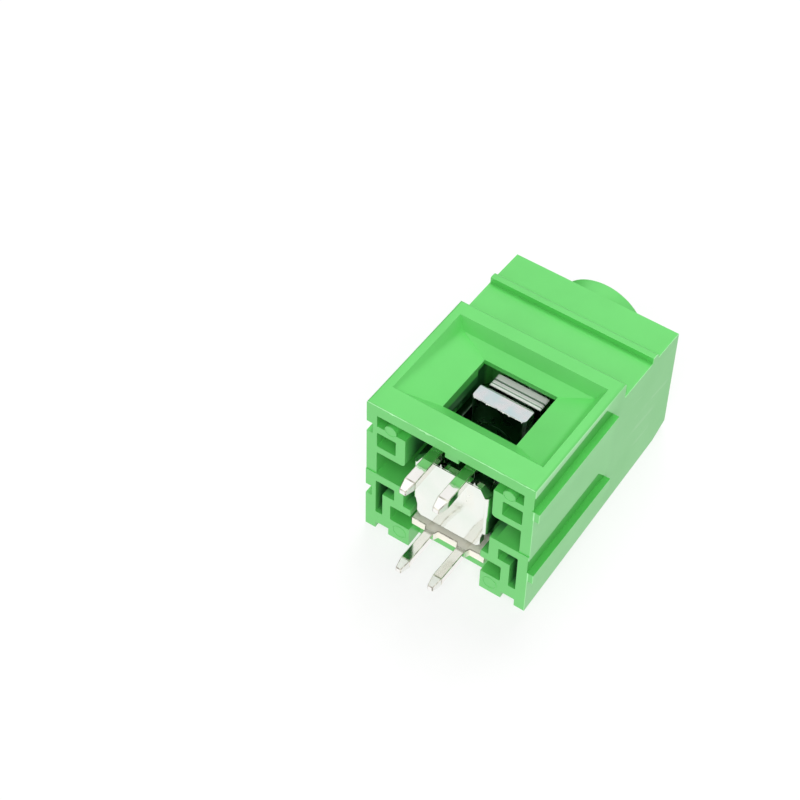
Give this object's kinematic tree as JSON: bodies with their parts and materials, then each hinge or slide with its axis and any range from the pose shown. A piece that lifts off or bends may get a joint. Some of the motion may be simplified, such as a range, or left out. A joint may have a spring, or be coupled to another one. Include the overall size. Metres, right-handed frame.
{
  "type": "pcb screw terminal block",
  "caption": "Modular pcb screw terminal block with a funnelled wire entry, a rising cage clamp, a slotted clamp screw and solder pins.",
  "frame": {"origin": "centre of the four solder pins on the board plane", "axes": "+Z away from the board towards the screw, -Y out of the wire entry, +X towards the side with ribs"},
  "size_m": [0.0155, 0.0148, 0.0268],
  "materials": {
    "housing_green": "moulded, satin",
    "contact_tin": "tin plated",
    "clamp_zinc": "zinc plated"
  },
  "bodies": {
    "base": {"housing": "housing_green", "contact": "contact_tin"},
    "cage": {"clamp_cage": "clamp_zinc"},
    "plate": {"pressure_plate": "clamp_zinc"},
    "screw": {"clamp_screw": "clamp_zinc"}
  },
  "joints": [
    {"name": "cage_lift", "type": "slide", "parent": "base", "child": "cage", "axis": [0, 0, 1], "range_m": [0, 0.0016]},
    {"name": "plate_advance", "type": "slide", "parent": "cage", "child": "plate", "axis": [0, 0, -1], "range_m": [0, 0.0024]},
    {"name": "screw_turn", "type": "hinge", "parent": "plate", "child": "screw", "pos_m": [0, -0.00119, 0.01], "axis": [0, 0, -1], "range_deg": [0, 1234.8]}
  ],
  "couplings": [
    {"joint": "screw_turn", "follows": "plate_advance", "rad_per_m": 8976}
  ]
}
